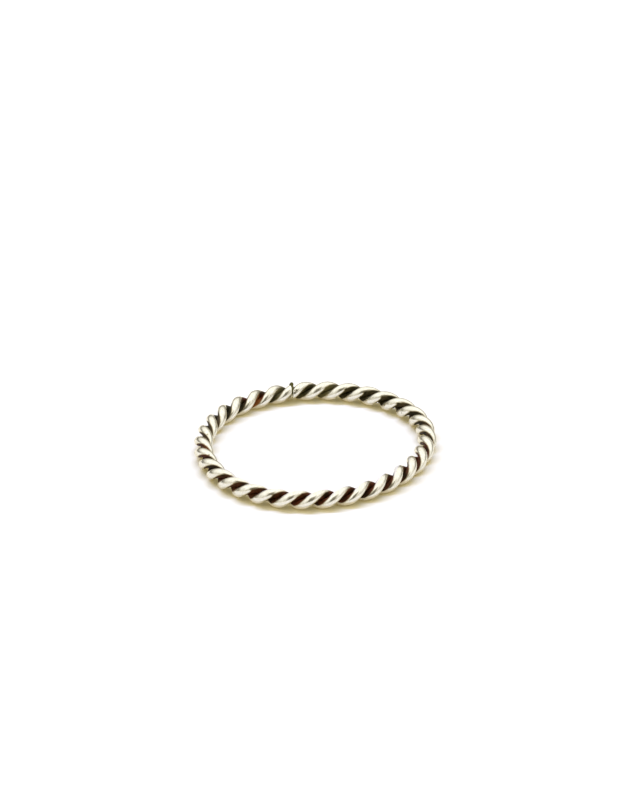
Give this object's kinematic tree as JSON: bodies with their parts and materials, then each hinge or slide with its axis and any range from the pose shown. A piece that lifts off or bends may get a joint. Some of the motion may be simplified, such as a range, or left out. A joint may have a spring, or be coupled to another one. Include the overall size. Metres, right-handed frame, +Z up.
{
  "type": "rope twist ring",
  "caption": "Slim finger ring of round silver wires twisted together like rope, closed by a soldered seam and lying flat.",
  "frame": {"origin": "middle of the finger hole, on the surface that the ring lies on", "axes": "+Z up, along the axis of the finger hole; +X and +Y across the ring, with the soldered seam 101 degrees anticlockwise from +X"},
  "size_m": [0.0204, 0.0206, 0.0016],
  "materials": {
    "silver": "polished sterling silver, darkened in the grooves between the wires"
  },
  "bodies": {
    "root": {"twisted_band": "silver"}
  },
  "joints": []
}
